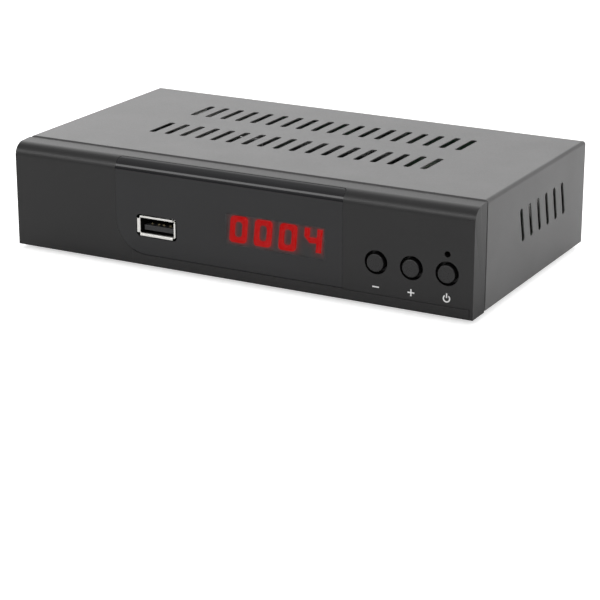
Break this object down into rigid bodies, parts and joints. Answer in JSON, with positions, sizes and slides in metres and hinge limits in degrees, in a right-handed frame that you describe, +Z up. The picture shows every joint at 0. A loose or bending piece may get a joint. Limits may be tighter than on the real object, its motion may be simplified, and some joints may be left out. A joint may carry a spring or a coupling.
{
  "type": "satellite tv receiver",
  "caption": "Low box satellite receiver: folded steel case with vents, moulded front with window, lit digits, USB socket and three push buttons, boards inside, sockets behind.",
  "frame": {"origin": "on the resting surface, under the middle of the whole part's bounding box", "axes": "+X to the right as seen from the front, +Y from the front to the back, +Z up; the front faces -Y"},
  "size_m": [0.168, 0.1006, 0.0373],
  "materials": {
    "cover_paint": "satin powder coat",
    "front_plastic": "satin",
    "window_plastic": "gloss",
    "button_plastic": "satin",
    "rubber": "matte",
    "plated_steel": "zinc plated",
    "nickel": "nickel plated",
    "screw_steel": "black oxide",
    "green_board": "solder mask",
    "black_plastic": "matte",
    "white_plastic": "matte",
    "yellow_plastic": "gloss",
    "red_plastic": "gloss",
    "red_light": "lit red figures",
    "lamp_plastic": "clear red",
    "ribbon_grey": "matte",
    "chip_resin": "matte",
    "sink_metal": "extruded",
    "capacitor_sleeve": "shrink sleeve"
  },
  "bodies": {
    "case": {"top_cover": "cover_paint", "chassis_tray": "plated_steel", "front_bezel": "front_plastic", "display_window": "window_plastic", "foot_front_left": "rubber", "foot_front_right": "rubber", "foot_rear_left": "rubber", "foot_rear_right": "rubber", "cover_screw_left": "screw_steel", "cover_screw_middle": "screw_steel", "cover_screw_right": "screw_steel", "channel_down_switch": "plated_steel", "channel_up_switch": "plated_steel", "standby_switch": "plated_steel", "standby_lamp": "lamp_plastic", "display_module": "black_plastic", "display_digit_1": "red_light", "display_digit_2": "red_light", "display_digit_3": "red_light", "display_digit_4": "red_light", "infrared_receiver": "black_plastic", "front_board": "green_board", "front_board_screw_left": "plated_steel", "front_board_screw_right": "plated_steel", "front_board_screw_middle": "plated_steel", "front_header": "white_plastic", "main_header": "white_plastic", "ribbon_cable": "ribbon_grey", "usb_shell": "nickel", "usb_tongue": "white_plastic", "main_board": "green_board", "board_screw_front_left": "plated_steel", "board_screw_front_right": "plated_steel", "board_screw_rear_left": "plated_steel", "board_screw_rear_right": "plated_steel", "tuner_can": "plated_steel", "satellite_in_socket": "nickel", "satellite_out_socket": "nickel", "hdmi_shell": "nickel", "hdmi_tongue": "black_plastic", "phono_block": "black_plastic", "video_barrel": "nickel", "audio_left_barrel": "nickel", "audio_right_barrel": "nickel", "video_insert": "yellow_plastic", "audio_left_insert": "white_plastic", "audio_right_insert": "red_plastic", "power_jack": "black_plastic", "power_pin": "nickel", "main_chip": "chip_resin", "heat_sink": "sink_metal", "memory_chip": "chip_resin", "big_capacitor": "capacitor_sleeve", "small_capacitor": "capacitor_sleeve"},
    "channel_down": {"channel_down_button": "button_plastic", "channel_down_plunger": "black_plastic"},
    "channel_up": {"channel_up_button": "button_plastic", "channel_up_plunger": "black_plastic"},
    "standby": {"standby_button": "button_plastic", "standby_plunger": "black_plastic"}
  },
  "joints": [
    {"name": "channel_down_press", "type": "slide", "parent": "case", "child": "channel_down", "axis": [0, 1, 0], "range_m": [0, 0.0004], "stiffness_N_per_m": 1500},
    {"name": "channel_up_press", "type": "slide", "parent": "case", "child": "channel_up", "axis": [0, 1, 0], "range_m": [0, 0.0004], "stiffness_N_per_m": 1500},
    {"name": "standby_press", "type": "slide", "parent": "case", "child": "standby", "axis": [0, 1, 0], "range_m": [0, 0.0004], "stiffness_N_per_m": 1500}
  ]
}
